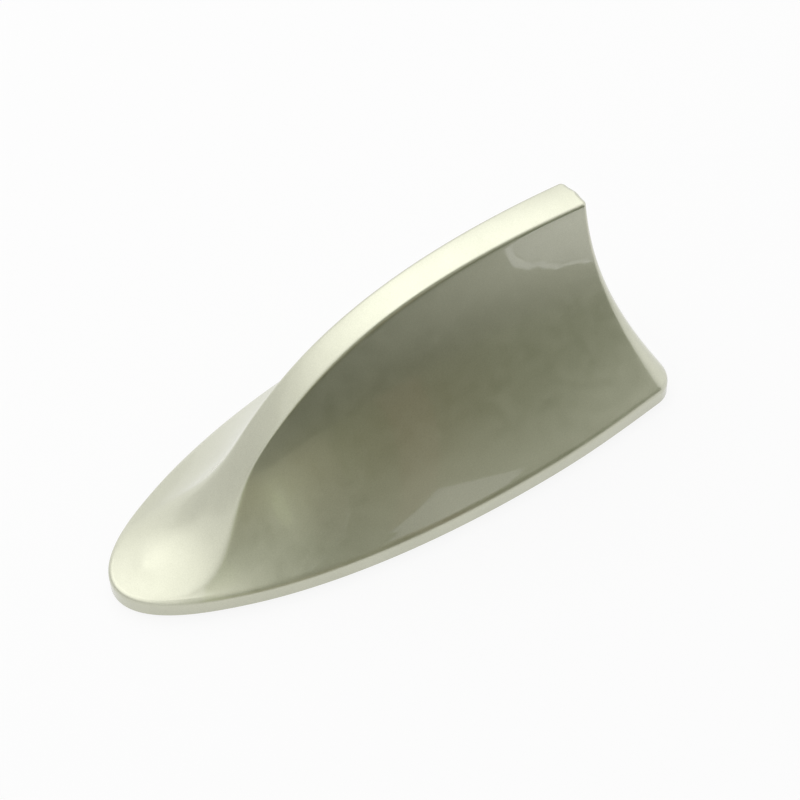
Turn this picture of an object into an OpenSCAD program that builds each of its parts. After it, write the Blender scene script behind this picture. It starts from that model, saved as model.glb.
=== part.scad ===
// Shark fin roof aerial of the stick-on kind, in millimetres.
// The nose points to -X, the tail to +X, and the adhesive face lies on z = 0.
// Positions along the aerial are measured back from the nose, and put_on_frame()
// moves them so that the origin is under the middle of the cover.

/* [Cover outline] */
// Length of the cover, nose to tail
cover_l = 165.5; // [158:0.5:176]
// Width of the cover at its widest
cover_w = 74; // [70:0.5:80]
// How far ahead of the tail edge the cover is widest
wide_to_tail = 47.5; // [43:0.5:52]
// Width of the tail where its corners begin
tail_w = 69; // [65:0.5:72]
// Radius of the tail corners in plan
tail_corner_r = 7.3; // [5:0.1:10]
// Bow of the tail edge in plan
tail_bow = 0.5; // [0.2:0.1:1.5]
// How far the nose arc reaches back before it becomes the side
nose_arc_x = 25.8; // [22:0.2:29]
// Half width of the cover at the end of the nose arc
nose_arc_y = 22.4; // [20:0.2:24]
// Fullness of the nose tip in plan, the larger the blunter
nose_full = 11.25; // [9:0.25:14]

/* [Crest] */
// Height of the crest at the tail, above the roof
crest_h = 59; // [54:0.5:64]
// How far the crest stops short of the tail edge
tail_rake = 12.9; // [10:0.2:17]
// Width of the crest strip at the tail
crest_w_tail = 10.8; // [9.6:0.1:12]
// Width of the crest strip at its narrowest, behind the nose
crest_w_mid = 8.5; // [8:0.1:9.4]
// Where the crest strip stops narrowing, back from the nose
crest_neck_x = 44; // [41:0.5:48]
// Half width that the crest's edges flare out to over the nose
patch_y = 14; // [13:0.1:15.5]
// Height of the nose at the front end of its middle line
patch_h = 5.75; // [5.6:0.05:6.4]
// Where the nose patch turns up into the crest, back from the nose
turn_x = 26.7; // [24:0.1:29]
// Height of the crest where it turns up
turn_h = 13.5; // [12:0.1:15]
// Crown of the crest strip across its width
crest_crown = 0.35; // [0.2:0.05:0.8]
// Radius of the crest's edges towards the tail
crest_edge_r = 1; // [0.8:0.1:1.4]
// Softness of the crest's edges where they fade into the nose
nose_edge_r = 6; // [5:0.25:7]

/* [Rim and wall] */
// Height of the rim's upper edge above the roof
rim_h = 5.5; // [5.2:0.1:6.5]
// Rounding of the rim's upper edge
rim_round = 1.2; // [0.8:0.1:1.5]
// Thickness of the rim's upright wall
rim_wall = 1.8; // [1.4:0.1:2]
// Thickness of the cover's moulded wall
wall = 2; // [1.6:0.1:2.2]

/* [Base plate and fixings] */
// Thickness of the adhesive foam under the plate
tape_t = 0.8; // [0.6:0.1:1.2]
// Width of the adhesive foam ring
tape_w = 6; // [5:0.25:7]
// Thickness of the base plate
plate_t = 2.6; // [2.4:0.1:3]
// Thickness of the sealing gasket between the plate and the cover
gasket_t = 0.8; // [0.6:0.1:1]
// Outer radius of the cover's screw bosses
boss_r = 3; // [2.6:0.1:3.4]
// Length of the cover screws under the head
cover_screw_l = 6; // [5:0.5:7]
// Thread radius of the cover screws
cover_screw_r = 1.25; // [1:0.05:1.5]
// Distance from the cable inlet back to the circuit board
inlet_to_board = 17.5; // [15:0.5:20]
// Bore radius of the cable grommet
grommet_bore_r = 2.2; // [1.5:0.1:2.8]

/* [Circuit board] */
// Length of the circuit board
board_l = 62; // [58:1:66]
// Width of the circuit board
board_w = 30; // [27:1:32]
// Thickness of the circuit board
board_t = 1.6; // [1:0.1:2]
// Gap between the board and the tail edge of the cover
board_to_tail = 20; // [18:0.5:24]
// Height of the posts that carry the board
post_h = 5; // [4:0.25:6]

/* [Antenna] */
// Radius of the coil former's core
former_r = 3.4; // [3:0.1:3.8]
// Drop from the end of the crest to the underside of the coil former's head
crest_to_head = 22; // [21:0.5:25]
// Wire radius of the antenna coil
wire_r = 0.45; // [0.3:0.05:0.5]
// Turns of the antenna coil
coil_turns = 11; // [6:1:12]
// Thickness of the upright antenna blade
blade_t = 0.5; // [0.3:0.05:0.8]
// Length of the upright antenna blade
blade_l = 58; // [50:1:60]

/* [Hidden] */
$fn = 48;
ledge_w = 0.8;
plate_top = tape_t + plate_t;
ledge_z = plate_top + gasket_t;
// stations along half the outline, for its five stretches
NS = [12, 18, 14, 7, 3];
half_w = cover_w / 2;
tail_y = tail_w / 2;
tail_x = cover_l - tail_bow;
wide_x = cover_l - wide_to_tail;
crest_end = cover_l - tail_rake;
crest_y_tail = crest_w_tail / 2;
crest_y_mid = crest_w_mid / 2;
patch_x = 17.5;
tip_corner_r = 1.6;
tip_bow = 0.5;
rim_inset = 2.7;
patch_blend = 8;

function clamp01(u) = min(1, max(0, u));
function smooth(u) = let (v = clamp01(u)) v * v * (3 - 2 * v);
function bez(p, t) =
    (1 - t)^3 * p[0] + 3 * (1 - t)^2 * t * p[1] + 3 * (1 - t) * t^2 * p[2] + t^3 * p[3];
function bez_dir(p, t) =
    (1 - t)^2 * (p[1] - p[0]) + 2 * (1 - t) * t * (p[2] - p[1]) + t^2 * (p[3] - p[2]);
// height of a curve of [x, z] points at a given x, found by halving
function bez_at(p, x, lo = 0, hi = 1, n = 20) =
    let (m = (lo + hi) / 2)
    n == 0 ? bez(p, m)[1] :
    bez(p, m)[0] < x ? bez_at(p, x, m, hi, n - 1) : bez_at(p, x, lo, m, n - 1);
// the smaller of two values, blended where they come within k of each other
function soft_min(a, b, k) =
    let (h = clamp01(0.5 + 0.5 * (b - a) / k)) b * (1 - h) + a * h - k * h * (1 - h);

// stretches of the half outline: nose arc, side, haunch, corner, tail edge
arc_slope = 0.42;
arc_lead = 9.3;
side_lead = 21;
side_trail = 40;
haunch_lead = 13.3;
haunch_trail = 15;
quarter_k = 0.55;
corner_k = quarter_k * tail_corner_r;
corner_x = tail_x - tail_corner_r;
tail_slope = 0.1;
corner_y = tail_y - tail_slope * tail_corner_r - tail_corner_r;
OUTLINE = [
    [[0, 0], [0, nose_full],
        [nose_arc_x - arc_lead, nose_arc_y - arc_lead * arc_slope], [nose_arc_x, nose_arc_y]],
    [[nose_arc_x, nose_arc_y], [nose_arc_x + side_lead, nose_arc_y + side_lead * arc_slope],
        [wide_x - side_trail, half_w], [wide_x, half_w]],
    [[wide_x, half_w], [wide_x + haunch_lead, half_w],
        [corner_x - haunch_trail, tail_y + haunch_trail * tail_slope], [corner_x, tail_y]],
    [[corner_x, tail_y], [corner_x + corner_k, tail_y - corner_k * tail_slope],
        [tail_x, corner_y + corner_k], [tail_x, corner_y]],
    [[tail_x, corner_y], [tail_x, corner_y * 0.6], [cover_l, corner_y * 0.3], [cover_l, 0]]];
// the half outline as stations of [point, inward normal]
function stations(p, n, first) = [for (i = [first:n])
    let (d = bez_dir(p, i / n)) [bez(p, i / n), [d[1], -d[0]] / norm(d)]];
HALF = [for (k = [0:4], s = stations(OUTLINE[k], NS[k], k == 0 ? 0 : 1)) s];
N_SIDE = NS[0] + NS[1] + NS[2];
N_HALF = len(HALF);

// half width of the crest at x, flaring ahead of its neck
flare_power = 2.2;
function crest_y(x) =
    crest_y_mid + (crest_y_tail - crest_y_mid) * clamp01((x - crest_neck_x) / (crest_end - crest_neck_x))
    + (x < crest_neck_x ? (patch_y - crest_y_mid)
        * (1 - max(-1, (x - patch_x) / (crest_neck_x - patch_x)))^flare_power : 0);
turn_slope = 0.71;
patch_slope = 0.25;
patch_lead = 10.7;
turn_trail = 6;
turn_lead = 22;
crest_pull_x = 56;
crest_pull_h = 9;
CREST_FRONT = [[0, patch_h], [patch_lead, patch_h + patch_slope * patch_lead],
    [turn_x - turn_trail, turn_h - turn_trail * turn_slope], [turn_x, turn_h]];
CREST_REAR = [[turn_x, turn_h], [turn_x + turn_lead, turn_h + turn_lead * turn_slope],
    [crest_pull_x, crest_h + crest_pull_h], [crest_end, crest_h]];
crest_end_slope = -crest_pull_h / (crest_end - crest_pull_x);
function crest_z(x) = x < turn_x ? bez_at(CREST_FRONT, x)
    : x < crest_end ? bez_at(CREST_REAR, x) : crest_h + crest_end_slope * (x - crest_end);
// height of the crest's edges: over the nose they sink below the middle line, towards the rim
nose_share = 0.5;
sink_x0 = 14;
sink_l = 20;
function edge_z(x) = rim_h
    + (crest_z(x) - rim_h) * (nose_share + (1 - nose_share) * smooth((x - sink_x0) / sink_l));
// height of the middle line, crowned over the crest's edges
crown_l = 14;
function middle_z(x) = crest_z(x) + crest_crown * clamp01(x / crown_l);
soft_x0 = 20;
soft_l = 28;
function crest_r(x) = crest_edge_r + (nose_edge_r - crest_edge_r) * (1 - smooth((x - soft_x0) / soft_l));

// the crest loop: as HALF, it is inset from the outline at the nose and drawn in to the crest behind it
tip_k = quarter_k * tip_corner_r;
SIDE_IN = [for (i = [0:N_SIDE]) HALF[i][0] + rim_inset * HALF[i][1]];
function crest_x(x) = let (x0 = SIDE_IN[0][0], x1 = SIDE_IN[N_SIDE][0])
    x + (crest_end - tip_corner_r - x1) * ((x - x0) / (x1 - x0))^2;
TIP = [
    [[crest_end - tip_corner_r, crest_y_tail], [crest_end - tip_corner_r + tip_k, crest_y_tail],
        [crest_end, crest_y_tail - tip_corner_r + tip_k], [crest_end, crest_y_tail - tip_corner_r]],
    [[crest_end, crest_y_tail - tip_corner_r], [crest_end, (crest_y_tail - tip_corner_r) * 0.6],
        [crest_end + tip_bow, (crest_y_tail - tip_corner_r) * 0.3], [crest_end + tip_bow, 0]]];
CREST = concat(
    [for (i = [0:N_SIDE]) let (x = crest_x(SIDE_IN[i][0]))
        [x, i == 0 ? 0 : soft_min(SIDE_IN[i][1], crest_y(x), patch_blend)]],
    [for (k = [0:1], i = [1:NS[3 + k]]) bez(TIP[k], i / NS[3 + k])]);
// which way the crest loop is inset at each station: back at the nose, in at the sides, forward at the tail
turn_in_x = 25;
CREST_IN = [for (i = [0:N_HALF - 1])
    let (a = i <= N_SIDE ? 90 * (1 - (1 - clamp01(CREST[i][0] / turn_in_x))^2)
        : i <= N_SIDE + NS[3] ? 90 + 90 * (i - N_SIDE) / NS[3] : 180) [cos(a), -sin(a)]];

// one skin of the cover as rings of half stations, from its foot to the cap's edge
thin_crest_x = 12;
cap_min_y = 0.4;
function inset_of(i, d) = let (p = CREST[i] + d * CREST_IN[i])
    [p[0], i == 0 || i == N_HALF - 1 ? 0 : max(p[1], cap_min_y)];
function foot_of(i, d) = HALF[i][0] + d * HALF[i][1];
// how fast a flank draws back along x and in along y as it rises: straight at the nose, hollow behind it
side_bow = 0.61;
ease_power_x = 2.14;
ease_power_y = 2.64;
bow_x0 = 12;
bow_l = 34;
function eased(t, power) = 1 - (1 - t)^power - t;
function flank(b, c, t) =
    let (
        bow = smooth((c[0] - bow_x0) / bow_l),
        u = t + bow * eased(t, ease_power_x),
        v = t + bow * side_bow * eased(t, ease_power_y))
    [b[0] + u * (c[0] - b[0]), b[1] + v * (c[1] - b[1]), b[2] + t * (c[2] - b[2])];
function curve2(a, b, c, t) = (1 - t)^2 * a + 2 * (1 - t) * t * b + t^2 * c;

function behind_nose(i) = i <= N_SIDE && CREST[i][0] > thin_crest_x;
edge_share = 0.62;
function edge_r(i) = let (r = crest_r(CREST[i][0])) behind_nose(i) ? min(r, edge_share * CREST[i][1]) : r;
// outer skin at station i: the foot, the rim rounding, the flank, the crest rounding
function outer_station(i, nr, nf) =
    let (
        b2 = HALF[i][0], c2 = CREST[i],
        b = [b2[0], b2[1], rim_h], c = [c2[0], c2[1], edge_z(c2[0])],
        r = edge_r(i), len = norm(c - b),
        p = inset_of(i, r),
        h = [p[0], p[1], (edge_z(p[0]) * p[1] + 2 * r * middle_z(p[0])) / (p[1] + 2 * r)],
        t0 = min(rim_round / len, 0.35), t1 = 1 - min(max(r, 0.5) / len, 0.5),
        f = flank(b, c, t0), g = flank(b, c, t1),
        df = flank(b, c, t0 + 0.001) - f,
        k = [b[0], b[1], min(f[2], max(rim_h - 1.5,
            f[2] - norm([f[0] - b[0], f[1] - b[1]]) * df[2] / max(norm([df[0], df[1]]), 1e-6)))],
        w = k - [0, 0, rim_round])
    concat([[b[0], b[1], tape_t]],
        [for (j = [0:nr]) curve2(w, k, f, j / nr)],
        [for (j = [1:nf - 1]) flank(b, c, t0 + (t1 - t0) * j / nf)],
        [for (j = [0:nr]) curve2(g, c, h, j / nr)]);
// inner skin: half width left under the crest, least height at the nose, and how much thicker the roof is
min_slot_y = 1.2;
min_roof_h = 0.25;
roof_share = 1.15;
function inner_station(i, nf) =
    let (
        b2 = foot_of(i, rim_wall + ledge_w),
        c2 = inset_of(i, behind_nose(i) ? min(wall, CREST[i][1] - min_slot_y) : wall),
        b = [b2[0], b2[1], ledge_z - 1],
        c = [c2[0], c2[1], max(ledge_z + min_roof_h, edge_z(c2[0]) - wall * roof_share)])
    [for (j = [0:nf]) flank(b, c, j / nf)];

// a closed skin from rings of half stations: foot face, sides, and a cap of rows across that rises to
// the middle line less drop
function full(h) = let (n = len(h)) concat(h, [for (i = [n - 2:-1:1]) [h[i][0], -h[i][1], h[i][2]]]);
module skin(st, drop, m) {
    n = len(st); nr = len(st[0]); full_n = 2 * n - 2;
    rings = [for (r = [0:nr - 1]) each full([for (i = [0:n - 1]) st[i][r]])];
    top = (nr - 1) * full_n;
    rows = [for (i = [1:n - 2], k = [1:2 * m - 1])
        let (e = st[i][nr - 1], v = 1 - k / m, mid = max(e[2], middle_z(e[0]) - drop))
        [e[0], e[1] * v, e[2] + (mid - e[2]) * (1 - v * v)]];
    function at(i, k) = i == 0 || i == n - 1 ? top + i : k == 0 ? top + i
        : k == 2 * m ? top + full_n - i : nr * full_n + (i - 1) * (2 * m - 1) + k - 1;
    sides = [for (r = [0:nr - 2], j = [0:full_n - 1])
        let (a = r * full_n + j, b = r * full_n + (j + 1) % full_n)
        each [[a, b, b + full_n], [a, b + full_n, a + full_n]]];
    cap = [for (i = [0:n - 2], k = [0:2 * m - 1])
        each [if (i > 0) [at(i, k), at(i + 1, k), at(i, k + 1)],
              if (i < n - 2) [at(i + 1, k), at(i + 1, k + 1), at(i, k + 1)]]];
    polyhedron(concat(rings, rows), concat([[for (j = [full_n - 1:-1:0]) j]], sides, cap), convexity = 8);
}
module outer_skin() { skin([for (i = [0:N_HALF - 1]) outer_station(i, 3, 10)], 0, 4); }
module inner_skin() { skin([for (i = [0:N_HALF - 1]) inner_station(i, 6)], wall * roof_share, 2); }
// the outline inset by d, without the stations that fold over each other in the tail corners
fold_slack = 0.1;
function off_edge(p, a, b) = norm(p - a - clamp01((p - a) * (b - a) / ((b - a) * (b - a))) * (b - a));
function unfolded(p, d) =
    min([for (i = [1:N_HALF - 1]) off_edge(p, HALF[i - 1][0], HALF[i][0])]) > d - fold_slack;
module plan(d) {
    half = [for (i = [0:N_HALF - 1]) let (q = foot_of(i, d)) if (unfolded(q, d)) [q[0], q[1], 0]];
    polygon([for (p = full(half)) [p[0], p[1]]]);
}
module put_on_frame() { translate([-cover_l / 2, 0, 0]) children(); }

// screws of the cover, in plan and in section; they drive up from under the plate
nose_screw_x = 22;
front_screw_y = 20;
screw_to_inlet = 4;
screw_to_wide = 6;
screw_to_tail = 17.5;
screw_to_side = 15;
screw_to_corner = 14.5;
inlet_x = cover_l - board_to_tail - board_l - inlet_to_board;
cover_screw_x = [nose_screw_x, inlet_x - screw_to_inlet, wide_x - screw_to_wide, cover_l - screw_to_tail];
cover_screw_y = [0, front_screw_y, half_w - screw_to_side, tail_y - screw_to_corner];
BOSSES = [for (k = [0:3], side = k == 0 ? [0] : [-1, 1]) [cover_screw_x[k], side * cover_screw_y[k], k]];
nose_screw_l = 3;
function screw_l(p) = p[2] == 0 ? nose_screw_l : cover_screw_l;
thread_gap = 0.05;
hole_gap = 0.2;
root_share = 0.84;
pilot_r = cover_screw_r * root_share + thread_gap;
pilot_spare = 0.4;
head_r = 2.3;
head_h = 1.3;
head_pocket = 1.5;
plate_gap = 0.25;
through = 20;

// the circuit board and what stands on it
board_x1 = cover_l - board_to_tail;
board_x0 = board_x1 - board_l;
board_z = plate_top + post_h;
board_top = board_z + board_t;
board_hole_in = 4;
BOARD_HOLES = [for (x = [board_x0 + board_hole_in, board_x1 - board_hole_in], side = [-1, 1])
    [x, side * (board_w / 2 - board_hole_in)]];
board_screw_r = 1;
board_root_r = board_screw_r * root_share;
board_head_r = 1.9;
board_head_h = 1.2;
board_grip = 4;
post_r = 2.4;
can_x = board_x0 + 16;
can_l = 14;
can_w = 16;
can_to_foot = 1.2;
foot_r = 6.8;
former_x = can_x + can_l + can_to_foot + foot_r;
peg_y = 4.6;
peg_r = 0.8;
peg_gap = 0.1;
pin_w = 0.5;
pin_pitch = 2.54;
header_in = 5;
HEADER = [board_x0 + 9, board_w / 2 - header_in];
PINS = [for (side = [-1, 1]) HEADER + [0, side * pin_pitch / 2]];
chip_pitch = 1.27;

// the coil former, its coil and the blade over it
foot_h = 2;
head_z = crest_h - crest_to_head;
former_h = head_z - board_top;
former_head_h = 8;
former_head_r = 4.6;
slot_gap = 0.05;
blade_z = head_z + 3;
eyelet_z = blade_z + 2.6;
eyelet_r = 0.8;
eyelet_gap = 0.05;
coil_gap = 0.15;
coil_r = former_r + wire_r + coil_gap;
wire_notch = 1.4;

module at_each(places) { for (p = places) translate([p[0], p[1], 0]) children(); }

// painted shell: outer skin less its cavity, with the screw bosses left standing in the cavity
module cover() {
    color([0.75, 0.76, 0.66]) put_on_frame() difference() {
        outer_skin();
        difference() {
            union() {
                inner_skin();
                translate([0, 0, -1]) linear_extrude(ledge_z + 1) plan(rim_wall);
            }
            at_each(BOSSES) translate([0, 0, plate_top]) cylinder(r = boss_r, h = crest_h);
        }
        for (p = BOSSES) translate([p[0], p[1], plate_top - 1])
            cylinder(r = pilot_r, h = screw_l(p) + pilot_spare + 1);
    }
}

// moulded plate that closes the cover from below: pockets for the screw heads, posts for the board,
// and ribs in the empty front
rib_x = [inlet_x - 16, inlet_x - 24, inlet_x - 32];
rib_in = 8;
rib_w = 1.2;
rib_h = 1.2;
module base_plate() {
    color([0.05, 0.05, 0.05]) put_on_frame() difference() {
        union() {
            translate([0, 0, tape_t]) linear_extrude(plate_t) plan(rim_wall + plate_gap);
            at_each(BOARD_HOLES) translate([0, 0, plate_top - 1]) cylinder(r = post_r, h = post_h + 1);
            intersection() {
                for (x = rib_x) translate([x - rib_w / 2, -half_w, plate_top - 1])
                    cube([rib_w, 2 * half_w, rib_h + 1]);
                translate([0, 0, plate_top - 1]) linear_extrude(rib_h + 1) plan(rim_wall + rib_in);
            }
        }
        at_each(BOSSES) {
            cylinder(r = head_r + hole_gap, h = tape_t + head_pocket);
            cylinder(r = cover_screw_r + hole_gap, h = through);
        }
        at_each(BOARD_HOLES) translate([0, 0, plate_top - 0.5])
            cylinder(r = board_root_r + thread_gap, h = through);
        translate([inlet_x, 0, -1]) cylinder(r = grommet_neck_r + thread_gap, h = through);
    }
}

// pan head screw, head at the bottom: head radius and height, thread radius, length under the head
driver_w = 0.5;
driver_h = 0.6;
point_l = 0.8;
point_r = 0.3;
module screw(hr, hh, tr, tl) {
    difference() {
        rotate_extrude() polygon([[0, 0], [hr - 0.5, 0], [hr - 0.12, 0.25], [hr, 0.6], [hr, hh],
            [tr, hh], [tr, hh + tl - point_l], [point_r, hh + tl], [0, hh + tl]]);
        for (a = [0, 90]) rotate(a)
            translate([-hr * 0.6, -driver_w / 2, -1]) cube([hr * 1.2, driver_w, driver_h + 1]);
    }
}
module cover_screws() {
    color("silver") put_on_frame() for (p = BOSSES) translate([p[0], p[1], tape_t + head_pocket - head_h])
        screw(head_r, head_h, pilot_r - thread_gap, plate_t - head_pocket + screw_l(p));
}

// flat rings that follow the outline: from one inset to a deeper one
module ring(outer, inner, z, t) {
    translate([0, 0, z]) linear_extrude(t) difference() {
        plan(outer);
        plan(inner);
    }
}
// rubber gasket pinched between the plate's edge and the ledge inside the cover
gasket_gap = 0.15;
gasket_w = 2.25;
module cover_gasket() {
    color([0.1, 0.1, 0.1]) put_on_frame()
        ring(rim_wall + gasket_gap, rim_wall + gasket_gap + gasket_w, plate_top, gasket_t);
}
// adhesive foam that holds the aerial to the roof
tape_in = 0.85;
module edge_tape() {
    color([0.25, 0.25, 0.26]) put_on_frame() ring(rim_wall + tape_in, rim_wall + tape_in + tape_w, 0, tape_t);
}

// cable grommet snapped into the plate, and the foam ring that seals round it on the roof
grommet_neck_r = 4.4;
grommet_lip = 1.8;
grommet_up = 3;
seal_gap = 0.8;
seal_w = 5.5;
module hole_seal() {
    r = grommet_neck_r + grommet_lip + seal_gap;
    color([0.12, 0.12, 0.13]) put_on_frame() translate([inlet_x, 0, 0]) difference() {
        cylinder(r = r + seal_w, h = tape_t);
        translate([0, 0, -1]) cylinder(r = r, h = tape_t + 2);
    }
}
module cable_grommet() {
    n = grommet_neck_r;
    f = grommet_neck_r + grommet_lip;
    b = grommet_bore_r;
    color([0.08, 0.08, 0.08]) put_on_frame() translate([inlet_x, 0, 0]) rotate_extrude()
        polygon([[b, 0.2], [f - 0.3, 0.2], [f, 0.5], [f, tape_t], [n, tape_t], [n, plate_top],
            [f - 0.2, plate_top], [f - 0.4, plate_top + 0.8], [b + 1, plate_top + grommet_up],
            [b, plate_top + grommet_up]]);
}

// stamped ground plate flat on the base plate, with a tab bent up to the board's underside
ground_t = 0.5;
ground_edge = 1;
tab_x = 16;
tab_w = 6;
tab_l = 4;
module ground_plate() {
    color([0.72, 0.72, 0.7]) put_on_frame() {
        difference() {
            translate([board_x0 - ground_edge, -board_w / 2, plate_top])
                cube([board_l + 2 * ground_edge, board_w, ground_t]);
            at_each(BOARD_HOLES) cylinder(r = post_r + hole_gap, h = through);
        }
        translate([board_x0 + tab_x, -tab_w / 2, plate_top]) cube([ground_t, tab_w, post_h]);
        translate([board_x0 + tab_x, -tab_w / 2, board_z - ground_t]) cube([tab_l, tab_w, ground_t]);
    }
}

// glass fibre board, with holes for its screws, the former's pegs and the header's pins
module circuit_board() {
    color([0.05, 0.3, 0.15]) put_on_frame() difference() {
        translate([board_x0, -board_w / 2, board_z]) cube([board_l, board_w, board_t]);
        at_each(BOARD_HOLES) cylinder(r = board_screw_r + hole_gap, h = 2 * through);
        for (side = [-1, 1]) translate([former_x, side * peg_y, 0])
            cylinder(r = peg_r + peg_gap, h = through);
        at_each(PINS) cylinder(r = pin_w, h = through);
    }
}
module board_screws() {
    color("silver") put_on_frame() at_each(BOARD_HOLES) translate([0, 0, board_top + board_head_h])
        rotate([180, 0, 0]) screw(board_head_r, board_head_h, board_root_r, board_t + board_grip);
}

// screening can over the amplifier chip
can_h = 3;
can_t = 0.3;
module shield_can() {
    color([0.8, 0.8, 0.78]) put_on_frame() difference() {
        translate([can_x, -can_w / 2, board_top]) cube([can_l, can_w, can_h]);
        translate([can_x + can_t, -can_w / 2 + can_t, board_top - 1])
            cube([can_l - 2 * can_t, can_w - 2 * can_t, can_h - can_t + 1]);
    }
}
chip_l = 4;
chip_w = 5;
chip_h = 1.3;
chip_foot = 0.15;
leg_reach = 0.8;
leg_w = 0.4;
module amplifier_chip() {
    color([0.06, 0.06, 0.06]) put_on_frame() translate([can_x + can_l / 2, 0, board_top]) {
        translate([-chip_l / 2, -chip_w / 2, chip_foot]) cube([chip_l, chip_w, chip_h]);
        for (k = [-1.5:1.5]) translate([-chip_l / 2 - leg_reach, k * chip_pitch - leg_w / 2, 0])
            cube([chip_l + 2 * leg_reach, leg_w, leg_w]);
    }
}

// small parts soldered flat on the board
module chips(places, size) {
    at_each(places) translate([-size[0] / 2, -size[1] / 2, board_top]) cube(size);
}
resistor = [1, 2, 0.5];
resistor_pitch = 2.4;
resistor_rows = [-7, 3];
module resistors() {
    color([0.1, 0.1, 0.12]) put_on_frame()
        chips([for (k = [0:2], y = resistor_rows) [HEADER[0] + k * resistor_pitch, y]], resistor);
}
ceramic = [1.2, 2, 0.9];
ceramic_pitch = 4;
ceramic_to_can = 2.5;
module ceramic_capacitors() {
    color([0.62, 0.5, 0.36]) put_on_frame()
        chips([for (k = [1:2], side = [-1, 1])
            [can_x + k * ceramic_pitch, side * (can_w / 2 + ceramic_to_can)]], ceramic);
}
// upright capacitor in its sleeve, with the rolled groove near its foot; it stands beside the former
beside_x = 3;
beside_gap = 0.6;
cap_r = 2.5;
cap_h = 7;
groove = 0.3;
groove_z = 0.9;
module electrolytic_capacitor() {
    color([0.1, 0.12, 0.2]) put_on_frame()
        translate([former_x + beside_x, foot_r + beside_gap + cap_r, board_top])
        rotate_extrude() polygon([[0, 0], [cap_r, 0], [cap_r, groove_z], [cap_r - groove, groove_z + groove],
            [cap_r, groove_z + 2 * groove], [cap_r, cap_h - groove], [cap_r - groove, cap_h], [0, cap_h]]);
}
// drum chokes
drum_r = 2.4;
drum_neck_r = 1.8;
drum_h = 2.6;
drum_lip = 0.6;
module filter_coils() {
    color([0.2, 0.2, 0.2]) put_on_frame() at_each([for (side = [-1, 1])
        [former_x + side * (drum_r + beside_gap), -foot_r - beside_gap - drum_r]])
        translate([0, 0, board_top]) rotate_extrude()
            polygon([[0, 0], [drum_r, 0], [drum_r, drum_lip], [drum_neck_r, drum_lip],
                [drum_neck_r, drum_h - drum_lip], [drum_r, drum_h - drum_lip], [drum_r, drum_h],
                [0, drum_h]]);
}
// push-on coax socket: square foot, snap ring and centre pin
coax_foot = 5;
coax_r = 1.9;
coax_h = 4;
coax_lip = 0.15;
coax_in = 4.5;
coax_y = -2;
module coax_socket() {
    color([0.82, 0.66, 0.3]) put_on_frame() translate([board_x0 + coax_in, coax_y, board_top]) {
        translate([-coax_foot / 2, -coax_foot / 2, 0]) cube([coax_foot, coax_foot, 1.2]);
        rotate_extrude() polygon([[coax_r - 0.4, 1], [coax_r, 1], [coax_r, coax_h - 0.6],
            [coax_r + coax_lip, coax_h - 0.5], [coax_r + coax_lip, coax_h - 0.1], [coax_r, coax_h],
            [coax_r - 0.4, coax_h]]);
        cylinder(r = 0.35, h = coax_h - 0.4);
    }
}
// open two-pin header for the supply wires
header_l = 4.4;
header_w = 6;
header_h = 5;
header_t = 0.6;
header_floor = 1.4;
pin_tail = 1;
module power_header() {
    color([0.9, 0.9, 0.86]) put_on_frame() {
        translate([HEADER[0], HEADER[1], board_top]) difference() {
            translate([-header_l / 2, -header_w / 2, 0]) cube([header_l, header_w, header_h]);
            translate([-header_l / 2 + header_t, -header_w / 2 + header_t, header_floor])
                cube([header_l - 2 * header_t, header_w - 2 * header_t, header_h]);
        }
        at_each(PINS) translate([-pin_w / 2, -pin_w / 2, board_z - pin_tail])
            cube([pin_w, pin_w, board_t + header_h]);
    }
}

// upright former for the coil, pegged into the board, with a slotted head that grips the blade
peg_tail = 0.6;
module coil_former() {
    color([0.85, 0.85, 0.8]) put_on_frame() translate([former_x, 0, 0]) difference() {
        union() {
            translate([0, 0, board_top]) cylinder(r = foot_r, h = foot_h);
            translate([0, 0, board_top]) cylinder(r = former_r, h = former_h + 1);
            translate([0, 0, head_z]) cylinder(r = former_head_r, h = former_head_h);
            for (side = [-1, 1]) translate([0, side * peg_y, board_z - peg_tail])
                cylinder(r = peg_r, h = board_t + 1);
        }
        translate([-through / 2, -blade_t / 2 - slot_gap, blade_z])
            cube([through, blade_t + 2 * slot_gap, through]);
        for (z = [head_z - 0.5, board_top - 1])
            translate([coil_r - wire_notch / 2, -wire_notch / 2, z]) cube([4, wire_notch, 4]);
        translate([0, 0, eyelet_z]) rotate([90, 0, 0])
            cylinder(r = eyelet_r + eyelet_gap, h = through, center = true);
    }
}

// enamelled wire wound on the former, its ends straight down to the board and up to the blade
coil_seg = 12;
wire_sides = 8;
coil_clear = 1.5;
coil_z = board_top + foot_h + coil_clear;
coil_pitch = (head_z - coil_clear - coil_z) / coil_turns;
coil_bend = 0.6;
function turn_at(i) = let (a = i * 360 / coil_seg)
    [coil_r * cos(a), coil_r * sin(a), coil_z + coil_pitch * i / coil_seg];
COIL = concat([[coil_r, 0, board_top], [coil_r, 0, coil_z - coil_bend]],
    [for (i = [1:coil_turns * coil_seg - 1]) turn_at(i)],
    [[coil_r, 0, head_z - coil_clear + coil_bend], [coil_r, 0, blade_z]]);
N_COIL = len(COIL);
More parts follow.
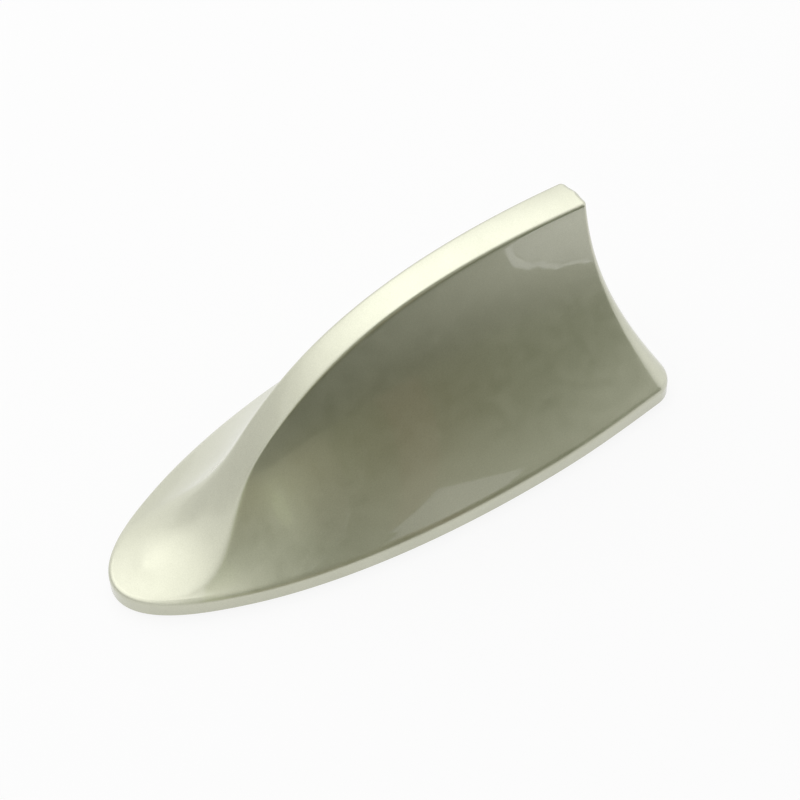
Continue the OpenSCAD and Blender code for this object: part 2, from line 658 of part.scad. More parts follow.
// direction of the wire at a point, upright at both ends
function wire_dir(i) = let (a = COIL[max(0, i - 1)], b = COIL[min(N_COIL - 1, i + 1)])
    i < 1 || i > N_COIL - 2 ? [0, 0, 1] : (b - a) / norm(b - a);
function wire_ring(i) = let (p = COIL[i], u = [p[0], p[1], 0] / norm([p[0], p[1]]), w = cross(wire_dir(i), u))
    [for (k = [0:wire_sides - 1]) let (a = k * 360 / wire_sides)
        p + wire_r * (cos(a) * u + sin(a) * w / norm(w))];
module antenna_coil() {
    n = wire_sides;
    points = [for (i = [0:N_COIL - 1]) each wire_ring(i)];
    faces = concat([[for (k = [0:n - 1]) k]], [[for (k = [n - 1:-1:0]) (N_COIL - 1) * n + k]],
        [for (i = [0:N_COIL - 2], k = [0:n - 1]) let (a = i * n + k, b = i * n + (k + 1) % n)
            each [[a, b + n, b], [a, a + n, b + n]]]);
    color([0.72, 0.42, 0.22]) put_on_frame() translate([former_x, 0, 0])
        polyhedron(points, faces, convexity = 10);
}

// stamped blade, upright under the crest, that loads the coil's top end
blade_to_crest_end = 8;
blade_over = 2;
blade_x1 = min(crest_end - blade_to_crest_end, board_x1 + blade_over);
blade_x0 = blade_x1 - blade_l;
blade_under = 2.4;
blade_nose = 2.5;
blade_rows = 12;
blade_step = 8;
BLADE_TOP = [for (i = [blade_rows:-1:0]) let (x = blade_x0 + blade_l * i / blade_rows)
    [x, crest_z(x) - wall - blade_under]];
module antenna_blade() {
    color([0.78, 0.78, 0.76]) put_on_frame() translate([0, blade_t / 2, 0]) rotate([90, 0, 0])
        linear_extrude(blade_t) difference() {
            polygon(concat([[blade_x0, crest_z(blade_x0) - wall - blade_under - blade_nose],
                [former_x - blade_step, blade_z], [blade_x1, blade_z]], BLADE_TOP));
            translate([former_x, eyelet_z]) circle(r = eyelet_r + eyelet_gap);
        }
}
// rolled eyelet that pins the blade in the former's slot
eyelet_bore_r = 0.45;
flange_r = 1.5;
flange_t = 0.4;
module blade_eyelet() {
    y = former_head_r + flange_t / 2;
    color([0.8, 0.62, 0.25]) put_on_frame() translate([former_x, 0, eyelet_z]) rotate([90, 0, 0])
        difference() {
            union() {
                cylinder(r = eyelet_r, h = 2 * y, center = true);
                for (side = [-1, 1]) translate([0, 0, side * y])
                    cylinder(r = flange_r, h = flange_t, center = true);
            }
            cylinder(r = eyelet_bore_r, h = through, center = true);
        }
}

cover();
base_plate();
cover_screws();
cover_gasket();
edge_tape();
hole_seal();
cable_grommet();
ground_plate();
circuit_board();
board_screws();
shield_can();
amplifier_chip();
resistors();
ceramic_capacitors();
electrolytic_capacitor();
filter_coils();
coax_socket();
power_header();
coil_former();
antenna_coil();
antenna_blade();
blade_eyelet();
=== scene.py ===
import math
import bpy
import numpy as np
from mathutils import Matrix, Vector
from mathutils.bvhtree import BVHTree


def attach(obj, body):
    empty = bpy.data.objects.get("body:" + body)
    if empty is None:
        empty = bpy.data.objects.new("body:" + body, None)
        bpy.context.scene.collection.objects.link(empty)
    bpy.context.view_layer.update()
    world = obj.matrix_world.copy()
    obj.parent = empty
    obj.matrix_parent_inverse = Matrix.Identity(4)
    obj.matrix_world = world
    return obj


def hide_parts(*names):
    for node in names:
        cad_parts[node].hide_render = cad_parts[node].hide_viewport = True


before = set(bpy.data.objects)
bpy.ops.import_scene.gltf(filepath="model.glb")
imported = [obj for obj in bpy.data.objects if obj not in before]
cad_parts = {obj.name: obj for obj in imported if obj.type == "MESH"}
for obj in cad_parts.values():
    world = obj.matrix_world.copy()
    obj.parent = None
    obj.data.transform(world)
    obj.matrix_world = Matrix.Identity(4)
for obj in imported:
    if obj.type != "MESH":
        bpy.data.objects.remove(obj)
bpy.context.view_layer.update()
scene = bpy.context.scene

# Camera
# A phone held over the near side of the nose, a little over half a metre away, tilted slightly.
turn, rise, tilt = math.radians(35.01), math.radians(47.95), math.radians(-1.93)
aim, reach = Vector((0.00646, -0.00505, 0.02267)), 0.55997
back = Vector((-math.sin(turn) * math.cos(rise), -math.cos(turn) * math.cos(rise), math.sin(rise)))
level = Vector((math.cos(turn), -math.sin(turn), 0))
upright = back.cross(level)
right = math.cos(tilt) * level + math.sin(tilt) * upright
up = -math.sin(tilt) * level + math.cos(tilt) * upright
camera = bpy.data.objects.new("camera", bpy.data.cameras.new("camera"))
camera.data.sensor_width, camera.data.lens = 36, 93.6
camera.data.clip_start, camera.data.clip_end = 0.01, 20
camera.matrix_world = Matrix.Translation(aim + back * reach) @ Matrix((right, up, back)).transposed().to_4x4()
scene.collection.objects.link(camera)
scene.camera = camera
scene.view_settings.view_transform = "Standard"

# Cover
# The painted shell: one ABS moulding, lofted from its plan outline up to a narrow crest that
# opens into a soft patch over the nose. Seven bosses inside take the screws from below.
length, half_w, wide_x = 165.5, 37.0, 118.0
nose_x, nose_y, nose_full, nose_slope = 25.8, 22.4, 11.25, 0.42
tail_y, corner_r, tail_bow, tail_slope = 34.5, 7.3, 0.5, 0.1
crest_h, crest_end = 59.0, length - 12.9
rim_h, rim_round, rim_wall = 5.5, 1.2, 1.8
wall, ledge_in, ledge_z, plate_top, foot_z = 2.0, 2.6, 4.2, 3.4, 0.8


def curve(p, t):
    """Points of a cubic curve on four poles."""
    p, t = np.array(p, float), np.asarray(t, float)[:, None]
    return (1 - t) ** 3 * p[0] + 3 * (1 - t) ** 2 * t * p[1] + 3 * (1 - t) * t ** 2 * p[2] + t ** 3 * p[3]


def way(p, t):
    """The curve's direction at the same places."""
    p, t = np.array(p, float), np.asarray(t, float)[:, None]
    return (1 - t) ** 2 * (p[1] - p[0]) + 2 * (1 - t) * t * (p[2] - p[1]) + t ** 2 * (p[3] - p[2])


def smooth(u):
    """Eases from 0 to 1 with no corner at either end."""
    u = np.clip(u, 0, 1)
    return u * u * (3 - 2 * u)


# one side of the plan outline: nose arc, side, haunch, tail corner, tail edge
arc_lead, side_lead, side_trail, haunch_lead, haunch_trail = 9.3, 21, 40, 13.3, 15
quarter = 0.55
corner_k = quarter * corner_r
tail_x = length - tail_bow
corner_x, corner_y = tail_x - corner_r, tail_y - tail_slope * corner_r - corner_r
outline = [
    [(0, 0), (0, nose_full), (nose_x - arc_lead, nose_y - arc_lead * nose_slope), (nose_x, nose_y)],
    [(nose_x, nose_y), (nose_x + side_lead, nose_y + side_lead * nose_slope),
     (wide_x - side_trail, half_w), (wide_x, half_w)],
    [(wide_x, half_w), (wide_x + haunch_lead, half_w),
     (corner_x - haunch_trail, tail_y + haunch_trail * tail_slope), (corner_x, tail_y)],
    [(corner_x, tail_y), (corner_x + corner_k, tail_y - corner_k * tail_slope),
     (tail_x, corner_y + corner_k), (tail_x, corner_y)],
    [(tail_x, corner_y), (tail_x, corner_y * 0.6), (length, corner_y * 0.3), (length, 0)]]
steps = [36, 50, 34, 18, 10]
side_n = sum(steps[:3])
points, ways = [], []
for k, (p, n) in enumerate(zip(outline, steps)):
    t = np.linspace(0, 1, n + 1)[0 if k == 0 else 1:]
    points.append(curve(p, t))
    ways.append(way(p, t))
rim = np.vstack(points)
ways = np.vstack(ways)
inward = np.column_stack([ways[:, 1], -ways[:, 0]]) / np.linalg.norm(ways, axis=1)[:, None]
count = len(rim)

# the crest from its patch over the nose, through a narrow neck, up to the tip
crest_y_tail, crest_y_mid, neck_x, flare_power = 5.4, 4.25, 44.0, 2.2
patch_x, patch_y, patch_h, patch_lead, patch_slope = 17.5, 14.0, 5.75, 10.7, 0.25
turn_x, turn_h, turn_slope, turn_trail, turn_lead = 26.7, 13.5, 0.71, 6, 22
pull_x, pull_h = 56, 9
nose_rise = [(0, patch_h), (patch_lead, patch_h + patch_slope * patch_lead),
             (turn_x - turn_trail, turn_h - turn_trail * turn_slope), (turn_x, turn_h)]
crest_rise = [(turn_x, turn_h), (turn_x + turn_lead, turn_h + turn_lead * turn_slope),
              (pull_x, crest_h + pull_h), (crest_end, crest_h)]
nose_share, sink_x0, sink_l = 0.5, 14, 20
crown, crown_l = 0.35, 14


def crest_y(x):
    """Half width of the crest."""
    flare = np.clip(1 - np.clip((x - patch_x) / (neck_x - patch_x), -1, 1), 0, None) ** flare_power
    lift = np.clip((x - neck_x) / (crest_end - neck_x), 0, 1)
    patch = np.where(x < neck_x, (patch_y - crest_y_mid) * flare, 0)
    return crest_y_mid + (crest_y_tail - crest_y_mid) * lift + patch


def crest_z(x):
    """Height of the crest."""
    x = np.asarray(x, float)
    t = np.linspace(0, 1, 400)
    front, rear = curve(nose_rise, t), curve(crest_rise, t)
    z = np.where(x < turn_x, np.interp(x, front[:, 0], front[:, 1]), np.interp(x, rear[:, 0], rear[:, 1]))
    return np.where(x > crest_end, crest_h - pull_h / (crest_end - pull_x) * (x - crest_end), z)


def edge_z(x):
    """Height of the crest's edges, which sink towards the rim over the nose."""
    return rim_h + (crest_z(x) - rim_h) * (nose_share + (1 - nose_share) * smooth((x - sink_x0) / sink_l))


def middle_z(x):
    """Height of the crest's middle line, slightly crowned."""
    return crest_z(x) + crown * np.clip(x / crown_l, 0, 1)


# crest loop, station by station above the outline, and which way it is drawn in
rim_inset, patch_blend, turn_in_x = 2.7, 8, 25
tip_r, tip_bow = 1.6, 0.5
tip_k = quarter * tip_r
inset = rim[:side_n + 1] + rim_inset * inward[:side_n + 1]
share = (inset[:, 0] - inset[0, 0]) / (inset[-1, 0] - inset[0, 0])
x = inset[:, 0] + (crest_end - tip_r - inset[-1, 0]) * share ** 2
y = crest_y(x)
h = np.clip(0.5 + 0.5 * (y - inset[:, 1]) / patch_blend, 0, 1)
y = y * (1 - h) + inset[:, 1] * h - patch_blend * h * (1 - h)
y[0] = 0
tip = [
    [(crest_end - tip_r, crest_y_tail), (crest_end - tip_r + tip_k, crest_y_tail),
     (crest_end, crest_y_tail - tip_r + tip_k), (crest_end, crest_y_tail - tip_r)],
    [(crest_end, crest_y_tail - tip_r), (crest_end, (crest_y_tail - tip_r) * 0.6),
     (crest_end + tip_bow, (crest_y_tail - tip_r) * 0.3), (crest_end + tip_bow, 0)]]
crest = np.vstack([np.column_stack([x, y])] + [
    curve(p, np.linspace(0, 1, n + 1)[1:]) for p, n in zip(tip, steps[3:])])
angle = np.radians(np.concatenate([
    90 * (1 - (1 - np.clip(x / turn_in_x, 0, 1)) ** 2), np.linspace(90, 180, steps[3] + 1)[1:],
    np.full(steps[4], 180.0)]))
drawn = np.column_stack([np.cos(angle), -np.sin(angle)])

# radius of the crest's edges: crisp along the crest, soft over the nose
crest_edge_r, nose_edge_r, soft_x0, soft_l = 1, 6, 20, 28
thin_crest_x, edge_share, cap_min_y = 12, 0.62, 0.4
behind = (np.arange(count) <= side_n) & (crest[:, 0] > thin_crest_x)
edge = crest_edge_r + (nose_edge_r - crest_edge_r) * (1 - smooth((crest[:, 0] - soft_x0) / soft_l))
edge = np.where(behind, np.minimum(edge, edge_share * crest[:, 1]), edge)
ends = np.isin(np.arange(count), (0, count - 1))


def drawn_in(d):
    """The crest loop drawn in by d."""
    p = crest + np.broadcast_to(d, count)[:, None] * drawn
    return np.column_stack([p[:, 0], np.where(ends, 0, np.maximum(p[:, 1], cap_min_y))])


# a flank rises straight at the nose and is hollow behind it
side_bow, bow_x0, bow_l = 0.61, 12, 34
power_x, power_y = 2.14, 2.64


def flank(b, c, t):
    """The ring a share t of the way up from ring b to ring c."""
    t = np.broadcast_to(t, count)
    bow = smooth((c[:, 0] - bow_x0) / bow_l)
    ease_x = t + bow * (1 - t - (1 - t) ** power_x)
    ease_y = t + side_bow * bow * (1 - t - (1 - t) ** power_y)
    return b + np.column_stack([ease_x, ease_y, t]) * (c - b)


def bend(a, b, c, n):
    """Rings that round the corner b between rings a and c."""
    return [(1 - t) ** 2 * a + 2 * (1 - t) * t * b + t * t * c for t in np.linspace(0, 1, n + 1)]


def at_height(p, z):
    return np.column_stack([p, np.broadcast_to(z, count)])


# outer skin, from the foot over the rim's rounding, the flank and the crest's rounding
rim_tuck, rim_most, crest_most, least_r, ease = 1.5, 0.35, 0.5, 0.5, 0.15
b, c = at_height(rim, rim_h), at_height(crest, edge_z(crest[:, 0]))
p = drawn_in(edge)
h = at_height(p, (edge_z(p[:, 0]) * p[:, 1] + 2 * edge * middle_z(p[:, 0])) / (p[:, 1] + 2 * edge))
run = np.linalg.norm(c - b, axis=1)
t0, t1 = np.minimum(rim_round / run, rim_most), 1 - np.minimum(np.maximum(edge, least_r) / run, crest_most)
f, g = flank(b, c, t0), flank(b, c, t1)
df = flank(b, c, t0 + 0.001) - f
steep = df[:, 2] / np.maximum(np.hypot(df[:, 0], df[:, 1]), 1e-6)
turn_z = f[:, 2] - np.hypot(*(f - b)[:, :2].T) * steep
k = at_height(rim, np.minimum(f[:, 2], np.maximum(rim_h - rim_tuck, turn_z)))
w = k - (0, 0, rim_round)
foot = at_height(rim, foot_z)
outer = [foot + (w - foot) * s for s in (0, 0.05, 0.5, 0.95)] + bend(w, k, f, 8)
outer += [flank(b, c, t0 + (t1 - t0) * s) for s in np.linspace(0, 1, 49)[1:-1]] + bend(g, c, h, 10)
outer[0] = foot + (0, 0, ease)

# inner skin, from the roof down to the ledge that the gasket meets, and the foot inside the rim
min_slot_y, min_roof_h, roof_share = 1.2, 0.25, 1.15
ledge = at_height(rim + ledge_in * inward, ledge_z)
roof = drawn_in(np.where(behind, np.minimum(wall, crest[:, 1] - min_slot_y), wall))
roof = at_height(roof, np.maximum(ledge_z + min_roof_h, edge_z(roof[:, 0]) - roof_share * wall))
inner = [flank(ledge, roof, s) for s in np.linspace(1, 0, 17)]
inner += [at_height(rim + rim_wall * inward, z) for z in (ledge_z, foot_z + ease)]
inner += [at_height(rim + (rim_wall - ease) * inward, foot_z), at_height(rim + ease * inward, foot_z)]

rings = inner + outer
loop = 2 * count - 2
verts = [v for ring in rings for v in np.vstack([ring, ring[-2:0:-1] * (1, -1, 1)])]
faces = [((r + 1) * loop + j, (r + 1) * loop + (j + 1) % loop, r * loop + (j + 1) % loop, r * loop + j)
         for r in range(len(rings) - 1) for j in range(loop)]


def cap(ring, first, across, drop, flip):
    """Rows of faces across a ring, swelling up to the middle line less drop."""
    start = len(verts)
    for i in range(1, count - 1):
        for k in range(1, 2 * across):
            v = 1 - k / across
            swell = max(0, middle_z(ring[i, 0]) - drop - ring[i, 2])
            verts.append(np.array((ring[i, 0], ring[i, 1] * v, ring[i, 2] + swell * (1 - v * v))))

    def at(i, k):
        if i in (0, count - 1) or k == 0:
            return first + i
        return first + loop - i if k == 2 * across else start + (i - 1) * (2 * across - 1) + k - 1

    for i in range(count - 1):
        for k in range(2 * across):
            quad = list(dict.fromkeys((at(i, k), at(i + 1, k), at(i + 1, k + 1), at(i, k + 1))))
            if len(quad) > 2:
                faces.append(quad[::-1] if flip else quad)


cap(outer[-1], (len(rings) - 1) * loop, 12, 0, True)
# the crest's edges melt into the nose: there each point of the outer skin moves towards its neighbours
melt_x0, melt_l, melt_rise, melt_rounds = 14, 30, 1.5, 180
base = len(inner) * loop
ties = np.array([(f[i] - base, f[i - 1] - base) for f in faces if min(f) >= base for i in range(len(f))])
outside = np.array(verts[base:])
give = 0.5 * smooth((outside[:, 2] - rim_h) / melt_rise) * (1 - smooth((outside[:, 0] - melt_x0) / melt_l))
neighbours = np.bincount(ties.ravel())
for _ in range(melt_rounds):
    pull = np.zeros_like(outside)
    np.add.at(pull, ties[:, 0], outside[ties[:, 1]])
    np.add.at(pull, ties[:, 1], outside[ties[:, 0]])
    outside += give[:, None] * (pull / neighbours[:, None] - outside)
verts[base:] = list(outside)
cap(inner[0], 0, 4, roof_share * wall, False)

# bosses, sunk a little into the roof above them, each with a blind pilot hole
bosses = [(22, 0), (62, 20), (62, -20), (112, 22), (112, -22), (148, 20), (148, -20)]
boss_r, boss_sink, boss_ease, boss_sides = 3.0, 0.8, 0.2, 32
pilot_r, pilot_h, pilot_ease, pilot_to_top = 1.1, 6.4, 0.1, 2.6
shell = BVHTree.FromPolygons([Vector(v) for v in verts], faces)


def roof_over(x, y):
    """Height in the roof's wall over a point, a little above the inner skin."""
    return shell.ray_cast(Vector((x, y, plate_top)), Vector((0, 0, 1)))[0].z + boss_sink


for bx, by in bosses:
    top = roof_over(bx, by)
    tall = min(pilot_h, top - plate_top - pilot_to_top)
    profile = [(boss_r, top), (boss_r, plate_top + boss_ease), (boss_r - boss_ease, plate_top)]
    profile += [(pilot_r + pilot_ease, plate_top), (pilot_r, plate_top + pilot_ease)]
    profile += [(pilot_r, plate_top + tall)]
    start, n = len(verts), boss_sides
    for r, z in profile:
        turns = np.linspace(0, 2 * math.pi, n, endpoint=False)
        ring = [(bx + r * math.cos(a), by + r * math.sin(a)) for a in turns]
        verts += [np.array((x, y, roof_over(x, y) if z == top else z)) for x, y in ring]
    for r in range(len(profile) - 1):
        faces += [(start + r * n + j, start + (r + 1) * n + j,
                   start + (r + 1) * n + (j + 1) % n, start + r * n + (j + 1) % n) for j in range(n)]
    faces.append([start + j for j in range(n)])
    faces.append([start + (len(profile) - 1) * n + j for j in range(n)][::-1])


class Socket:
    """An output of a shader node. Numbers join through Math nodes; node() makes any other node."""

    def __init__(self, tree, out):
        self.tree, self.out = tree, out

    def node(self, kind, settings=None, values=None, out=0):
        made = self.tree.nodes.new("ShaderNode" + kind)
        for key, value in (settings or {}).items():
            if key == "stops":
                ramp = made.color_ramp
                while len(ramp.elements) < len(value):
                    ramp.elements.new(1)
                for stop, (place, colour) in zip(ramp.elements, value):
                    stop.position, stop.color = place, colour
            else:
                setattr(made, key, value)
        for key, value in (values or {}).items():
            if isinstance(value, Socket):
                self.tree.links.new(value.out, made.inputs[key])
            else:
                made.inputs[key].default_value = value
        return Socket(self.tree, made.outputs[out])

    def join(self, way, a, b):
        return self.node("Math", {"operation": way}, {0: a, 1: b})

    def __add__(self, other):
        return self.join("ADD", self, other)

    def __mul__(self, other):
        return self.join("MULTIPLY", self, other)

    def __gt__(self, other):
        return self.join("GREATER_THAN", self, other)

    __radd__, __rmul__ = __add__, __mul__

    def noise(self, size, detail=2, rough=0.5, stretch=(1, 1, 1)):
        place = self.node("Mapping", {}, {"Vector": self, "Scale": stretch})
        values = {"Vector": place, "Scale": 1 / size, "Detail": detail, "Roughness": rough}
        return self.node("TexNoise", {}, values)

    def mix(self, other, share):
        return self.node("Mix", {"data_type": "RGBA"}, {"Factor": share, 6: self, 7: other}, out=2)

    def colour(self, light, dark):
        return self.node("ValToRGB", {"stops": [(0.3, (*dark, 1)), (0.7, (*light, 1))]}, {"Fac": self})

    def bump(self, height, deep, strength=1.0):
        return self.node("Bump", {}, {"Strength": strength, "Distance": deep, "Height": height})


def finish(name, **fixed):
    """A new material: its Principled shader's fixed values, and the object's own coordinates."""
    material = bpy.data.materials.new(name)
    material.use_nodes = True
    tree = material.node_tree
    shader = tree.nodes["Principled BSDF"]
    for key, value in fixed.items():
        shader.inputs[key.replace("_", " ")].default_value = value
    place = Socket(tree, tree.nodes.new("ShaderNodeTexCoord").outputs["Object"])

    def feed(key, value):
        tree.links.new(value.out, shader.inputs[key])

    return material, place, feed


# champagne silver: fine flake in a metallic base under clear coat with a little orange peel
paint, place, feed = finish("champagne_paint", Metallic=0.92, Coat_Weight=1.0, Coat_Roughness=0.035,
                            Coat_IOR=1.6)
flake = place.noise(0.00032, 2, 0.6)
drift = place.noise(0.02, 2, 0.5)
feed("Base Color", (flake * 0.7 + drift * 0.3).colour((0.62, 0.625, 0.5), (0.52, 0.525, 0.41)))
feed("Roughness", flake * 0.08 + place.noise(0.004, 2, 0.5) * 0.1 + 0.28)
peel = place.noise(0.0035, 1, 0.4) + place.noise(0.0004, 1, 0.5) * 0.06
feed("Normal", place.bump(peel, 0.00003, 0.85))
mesh = bpy.data.meshes.new("cover")
mesh.from_pydata([tuple((v - (length / 2, 0, 0)) * 0.001) for v in verts], [], [tuple(f) for f in faces])
mesh.materials.append(paint)
mesh.shade_smooth()
mesh.set_sharp_from_angle(angle=math.radians(40))
cover = bpy.data.objects.new("painted_cover", mesh)
scene.collection.objects.link(cover)
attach(cover, "root")
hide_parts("cover")


def dress(name, material):
    """Gives a CAD node its material."""
    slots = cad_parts[name].data.materials
    slots.clear()
    slots.append(material)


# Base plate
# Black ABS moulding that closes the cover from below; spark eroded grain on its faces.
black, place, feed = finish("black_moulding", Metallic=0.0)
grain = place.noise(0.0006, 3, 0.6)
feed("Base Color", grain.colour((0.035, 0.035, 0.036), (0.02, 0.02, 0.021)))
feed("Roughness", grain * 0.2 + 0.48)
feed("Normal", place.bump(grain, 0.00006))
dress("base_plate", black)

# Cover screws and board screws
# Pan head self-tapping screws, zinc plated steel, driven up through the plate and down into its posts.
zinc, place, feed = finish("zinc_plating", Metallic=1.0)
cloud = place.noise(0.0009, 3, 0.6)
feed("Base Color", cloud.colour((0.66, 0.67, 0.68), (0.5, 0.51, 0.53)))
feed("Roughness", cloud * 0.25 + 0.22)
feed("Normal", place.bump(cloud, 0.00002))
dress("cover_screws", zinc)
dress("board_screws", zinc)

# Cover gasket and cable grommet
# Black EPDM rubber: the gasket is a flat cut ring, the grommet is moulded and snapped into its hole.
rubber, place, feed = finish("black_rubber", Metallic=0.0)
skin = place.noise(0.0005, 3, 0.7)
feed("Base Color", skin.colour((0.032, 0.032, 0.031), (0.016, 0.016, 0.016)))
feed("Roughness", skin * 0.2 + 0.62)
feed("Normal", place.bump(skin, 0.00004))
dress("cover_gasket", rubber)
dress("cable_grommet", rubber)

# Edge tape and hole seal
# Closed cell acrylic foam with adhesive on both faces, die cut.
foam, place, feed = finish("adhesive_foam", Metallic=0.0)
cell = place.node("TexVoronoi", {"feature": "F1"}, {"Vector": place, "Scale": 2400.0})
feed("Base Color", cell.colour((0.05, 0.05, 0.052), (0.1, 0.1, 0.102)))
feed("Roughness", cell * 0.2 + 0.7)
feed("Normal", place.bump(cell, 0.00008))
dress("edge_tape", foam)
dress("hole_seal", foam)

# Ground plate, shield can and antenna blade
# Stamped from tinned steel strip, with the fine lines of the rolling mill along it.
tinned, place, feed = finish("tinned_strip", Metallic=1.0)
lines = place.noise(0.0004, 2, 0.6, (0.04, 1, 1))
blotch = place.noise(0.006, 2, 0.5)
feed("Base Color", (lines * 0.5 + blotch * 0.5).colour((0.72, 0.72, 0.7), (0.56, 0.56, 0.54)))
feed("Roughness", lines * 0.15 + blotch * 0.12 + 0.2)
feed("Normal", place.bump(lines, 0.000015))
for name in ("ground_plate", "shield_can", "antenna_blade"):
    dress(name, tinned)

# Circuit board
# Glass fibre laminate with green solder mask; copper tracks show through it a shade lighter.
board, place, feed = finish("solder_mask", Metallic=0.0, Coat_Weight=0.35, Coat_Roughness=0.15)
values = {"Vector": place, "Scale": 160.0, "Distortion": 4.0, "Detail": 0.0, "Detail Scale": 60.0}
wave = place.node("TexWave", {"wave_type": "BANDS", "bands_direction": "Y"}, values, out=1)
weave = place.noise(0.0007, 2, 0.5)
line = wave > 0.72
feed("Base Color", weave.colour((0.02, 0.17, 0.065), (0.012, 0.12, 0.045)).mix((0.06, 0.3, 0.12, 1), line))
feed("Roughness", weave * 0.15 + 0.34)
feed("Normal", place.bump(line * 0.6 + weave * 0.3, 0.00003))
dress("circuit_board", board)

# Amplifier chip, resistors and filter coils
# Small black parts: moulded epoxy, glazed film and ferrite drums, all soldered to the board.
epoxy, place, feed = finish("moulded_epoxy", Metallic=0.0)
grit = place.noise(0.0002, 2, 0.6)
feed("Base Color", grit.colour((0.03, 0.03, 0.032), (0.015, 0.015, 0.016)))
feed("Roughness", grit * 0.2 + 0.45)
feed("Normal", place.bump(grit, 0.00001))
for name in ("amplifier_chip", "resistors", "filter_coils"):
    dress(name, epoxy)

# Ceramic capacitors
# Fired tan bodies with tinned ends, soldered flat.
ceramic, place, feed = finish("tan_ceramic", Metallic=0.0)
fired = place.noise(0.0003, 2, 0.6)
feed("Base Color", fired.colour((0.5, 0.37, 0.22), (0.38, 0.27, 0.16)))
feed("Roughness", fired * 0.2 + 0.35)
feed("Normal", place.bump(fired, 0.00001))
dress("ceramic_capacitors", ceramic)

# Electrolytic capacitor
# An aluminium can in a shrunk dark blue sleeve that leaves its top bare.
sleeve, place, feed = finish("shrunk_sleeve")
sleeve_top = 0.01655
dull = place.noise(0.0008, 2, 0.5)
bare = place.node("SeparateXYZ", {}, {0: place}, out=2) > sleeve_top
feed("Base Color", dull.colour((0.03, 0.045, 0.12), (0.02, 0.03, 0.09)).mix((0.7, 0.7, 0.7, 1), bare))
feed("Metallic", bare * 1.0)
feed("Roughness", dull * 0.1 + 0.28)
feed("Normal", place.bump(dull, 0.00001))
dress("electrolytic_capacitor", sleeve)

# Coax socket and blade eyelet
# Turned and stamped brass with a thin gold flash.
brass, place, feed = finish("flashed_brass", Metallic=1.0)
wear = place.noise(0.0005, 2, 0.5)
feed("Base Color", wear.colour((0.85, 0.64, 0.3), (0.7, 0.5, 0.22)))
feed("Roughness", wear * 0.15 + 0.2)
feed("Normal", place.bump(wear, 0.00001))
dress("coax_socket", brass)
dress("blade_eyelet", brass)

# Coil former and power header
# Natural nylon mouldings, slightly milky.
nylon, place, feed = finish("natural_nylon", Metallic=0.0, Subsurface_Weight=0.1,
                            Subsurface_Radius=(0.001, 0.001, 0.0008))
milk = place.noise(0.001, 2, 0.5)
feed("Base Color", milk.colour((0.8, 0.79, 0.73), (0.72, 0.71, 0.65)))
feed("Roughness", milk * 0.15 + 0.4)
feed("Normal", place.bump(milk, 0.00002))
dress("coil_former", nylon)
dress("power_header", nylon)

# Antenna coil
# Enamelled copper wire wound on the former, soldered at both ends.
enamel, place, feed = finish("enamelled_copper", Metallic=1.0, Coat_Weight=0.5, Coat_Roughness=0.1)
drawn_wire = place.noise(0.0006, 2, 0.5)
feed("Base Color", drawn_wire.colour((0.72, 0.33, 0.15), (0.58, 0.24, 0.1)))
feed("Roughness", drawn_wire * 0.12 + 0.25)
feed("Normal", place.bump(drawn_wire, 0.00001))
dress("antenna_coil", enamel)

# Table
# The pale sheet that the aerial lies on, seen as plain white; it keeps the shadow along the rim.
table_half, table_z = 1.5, -0.00005
corners = [(-1, -1), (1, -1), (1, 1), (-1, 1)]
table = bpy.data.meshes.new("table")
table.from_pydata([(table_half * i, table_half * j, table_z) for i, j in corners], [], [(0, 1, 2, 3)])
floor = bpy.data.objects.new("table", table)
scene.collection.objects.link(floor)
white = bpy.data.materials.new("white_table")
white.use_nodes = True
tree = white.node_tree
shader = tree.nodes["Principled BSDF"]
shader.inputs["Base Color"].default_value = (0.9, 0.9, 0.9, 1)
shader.inputs["Roughness"].default_value = 0.7
shader.inputs["Specular IOR Level"].default_value = 0.1


def ray_kinds(tree):
    """Whether a ray comes from the camera, from gloss or through glass."""
    outputs = tree.nodes.new("ShaderNodeLightPath").outputs
    return [Socket(tree, outputs[key]) for key in ("Is Camera Ray", "Is Glossy Ray", "Is Transmission Ray")]


from_camera, from_gloss, from_glass = ray_kinds(tree)
glow = from_camera.node("Emission", {}, {"Color": (1, 1, 1, 1), "Strength": 1.0})
share = from_camera * 0.87 + (from_gloss + from_glass) * 0.65
lit = glow.node("MixShader", {}, {0: share, 1: Socket(tree, shader.outputs[0]), 2: glow})
tree.links.new(lit.out, tree.nodes["Material Output"].inputs["Surface"])
table.materials.append(white)

# Studio
# A white room with one large soft lamp overhead and behind. Cards that only gloss sees stand
# round the table, dark on the near side and grey on the far side, as a room would.
world = bpy.data.worlds.new("studio")
world.use_nodes = True
scene.world = world
tree = world.node_tree
from_camera, from_gloss, from_glass = ray_kinds(tree)
seen = from_camera + from_gloss + from_glass
tree.links.new((seen * 0.42 + 0.6).out, tree.nodes["Background"].inputs["Strength"])
tree.nodes["Background"].inputs["Color"].default_value = (1, 1, 1, 1)
lamp = bpy.data.lights.new("soft_lamp", "AREA")
lamp.shape, lamp.size, lamp.size_y, lamp.energy = "RECTANGLE", 1.8, 1.4, 7.6
lamp_place = Vector((-0.1, 0.55, 1.1))
lamp_object = bpy.data.objects.new("soft_lamp", lamp)
lamp_object.location = lamp_place
lamp_object.rotation_euler = (-lamp_place).to_track_quat("-Z", "Y").to_euler()
lamp_object.visible_glossy = False
scene.collection.objects.link(lamp_object)


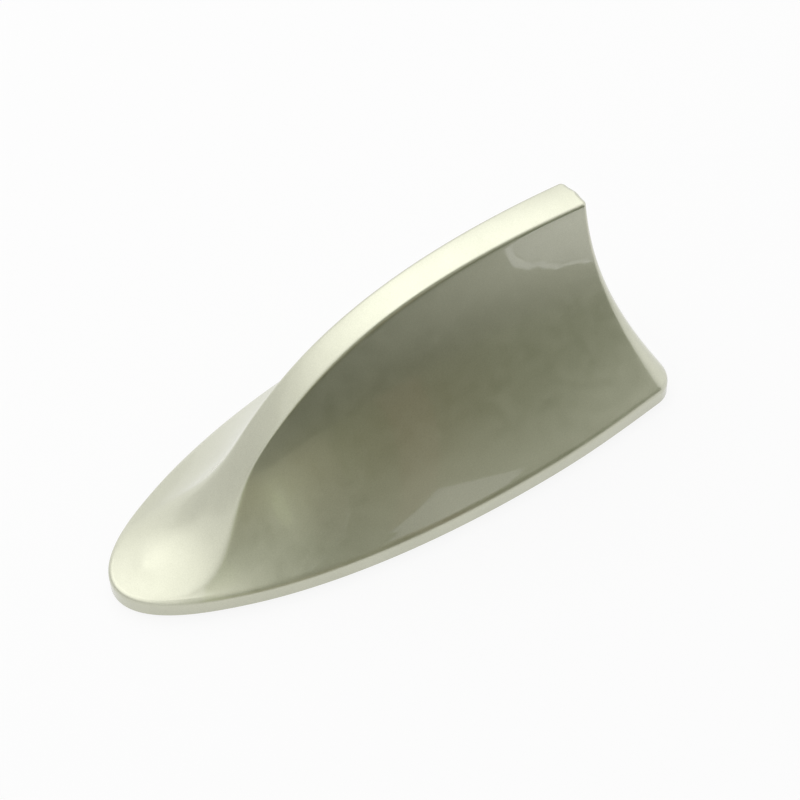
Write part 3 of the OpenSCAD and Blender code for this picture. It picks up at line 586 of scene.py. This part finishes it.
def card(name, verts, faces, tint, strength):
    """A card that only gloss sees."""
    data = bpy.data.meshes.new(name)
    data.from_pydata(verts, [], faces)
    made = bpy.data.objects.new(name, data)
    scene.collection.objects.link(made)
    material = bpy.data.materials.new(name)
    material.use_nodes = True
    tree = material.node_tree
    first = Socket(tree, tree.nodes["Principled BSDF"].outputs[0])
    tone = first.node("Emission", {}, {"Color": (*tint, 1), "Strength": strength})
    tree.links.new(tone.out, tree.nodes["Material Output"].inputs["Surface"])
    data.materials.append(material)
    made.visible_camera = made.visible_diffuse = made.visible_shadow = made.visible_transmission = False


def round_card(name, centre, radius, z, sides, strength):
    """A white disc overhead."""
    ring = [(centre[0] + radius * math.sin(a), centre[1] + radius * math.cos(a), z)
            for a in np.linspace(0, 2 * math.pi, sides, endpoint=False)]
    card(name, ring, [list(range(sides))], plain, strength)


def bent_card(name, start, end, low, high, tint, strength, lean=0):
    """A card bent round the table between two bearings; low and high give its edges at both ends."""
    n, away = 24, 0.6
    t = np.linspace(0, 1, n + 1)
    a = np.radians(start + (end - start) * t)
    edges = [np.column_stack([far * np.sin(a), far * np.cos(a), np.interp(t, (0, 1), z)])
             for far, z in ((away, low), (away - lean, high))]
    card(name, [tuple(p) for edge in edges for p in edge],
         [(j, j + 1, n + 2 + j, n + 1 + j) for j in range(n)], tint, strength)


def flat_card(name, edge, near, z, tint, strength):
    """A card lying on the table from a wavy far edge to the line y = near, or as a strip that wide."""
    n = 200
    px = np.linspace(-0.5, 0.5, n + 1)
    far = np.interp(px, *zip(*edge)) + 0.0022 * np.sin(px * 260) + 0.0012 * np.sin(px * 610 + 1)
    back_y = far - near if near > 0 else np.full(n + 1, near)
    card(name, [(p, q, z) for p, q in zip(px, far)] + [(p, q, z) for p, q in zip(px, back_y)],
         [(j, n + 1 + j, n + 2 + j, j + 1) for j in range(n)], tint, strength)


# bearings run from the far side (0) over the tail (90), the near side (180) and the nose (270)
green, brown, drab, plain = (0.92, 1.05, 0.5), (1.5, 0.98, 0.6), (1.06, 1, 0.72), (1, 1, 1)
tall, lean = 2.35, 0.3
bent_card("near_card_1", 130, 164, (0, 0), (0.4, 0.42), green, 0.13)
bent_card("near_card_2", 164, 171, (0, 0), (0.42, 0.6), brown, 0.17)
bent_card("near_card_3", 171, 184, (0, 0), (0.6, 0.25), green, 0.15)
bent_card("near_card_4", 206, 213, (0, 0), (tall, tall), green, 0.5, lean)
bent_card("near_card_5", 213, 228, (0, 0), (tall, tall), plain, 0.85)
step_z = [0, 0.16, 0.25, 0.34, 0.44, 0.56, 0.7]
for k, strength in enumerate((0.36, 0.3, 0.25, 0.2, 0.16, 0.13)):
    bent_card("step_card_%d" % k, 184, 206, (step_z[k],) * 2, (step_z[k + 1],) * 2, drab, strength)
bent_card("high_card_1", 130, 171, (0.4, 0.6), (tall, tall), green, 0.13, lean)
bent_card("high_card_2", 171, 184, (0.6, 0.25), (tall, tall), green, 0.1, lean)
bent_card("high_card_3", 184, 206, (0.7, 0.7), (tall, tall), green, 0.1, lean)
bent_card("left_card", 240, 335, (0, 0), (0.4, 0.4), plain, 0.68)
bent_card("far_card", -4, 90, (0, 0), (0.2, 0.2), plain, 0.8)
for k in range(7):
    round_card("ceiling_glow_%d" % k, (0.8, 1.5), 3.4 - 0.38 * k, 2.4 - 0.004 * k, 48, 0.9 + 0.16 * k)
round_card("nose_glow", (-0.12, 0.06), 0.3, 2.36, 32, 1.75)
# the cloth's edge, whose reflection crosses the upper rear of the near flank, and its white hem
fold = [(-0.5, -0.045), (-0.1, -0.048), (0, -0.064), (0.095, -0.113), (0.129, -0.138), (0.16, -0.152),
        (0.5, -0.17)]
flat_card("dark_cloth", fold, -0.6, 0.002, green, 0.065)
flat_card("cloth_hem", fold, 0.006, 0.0025, plain, 1.6)
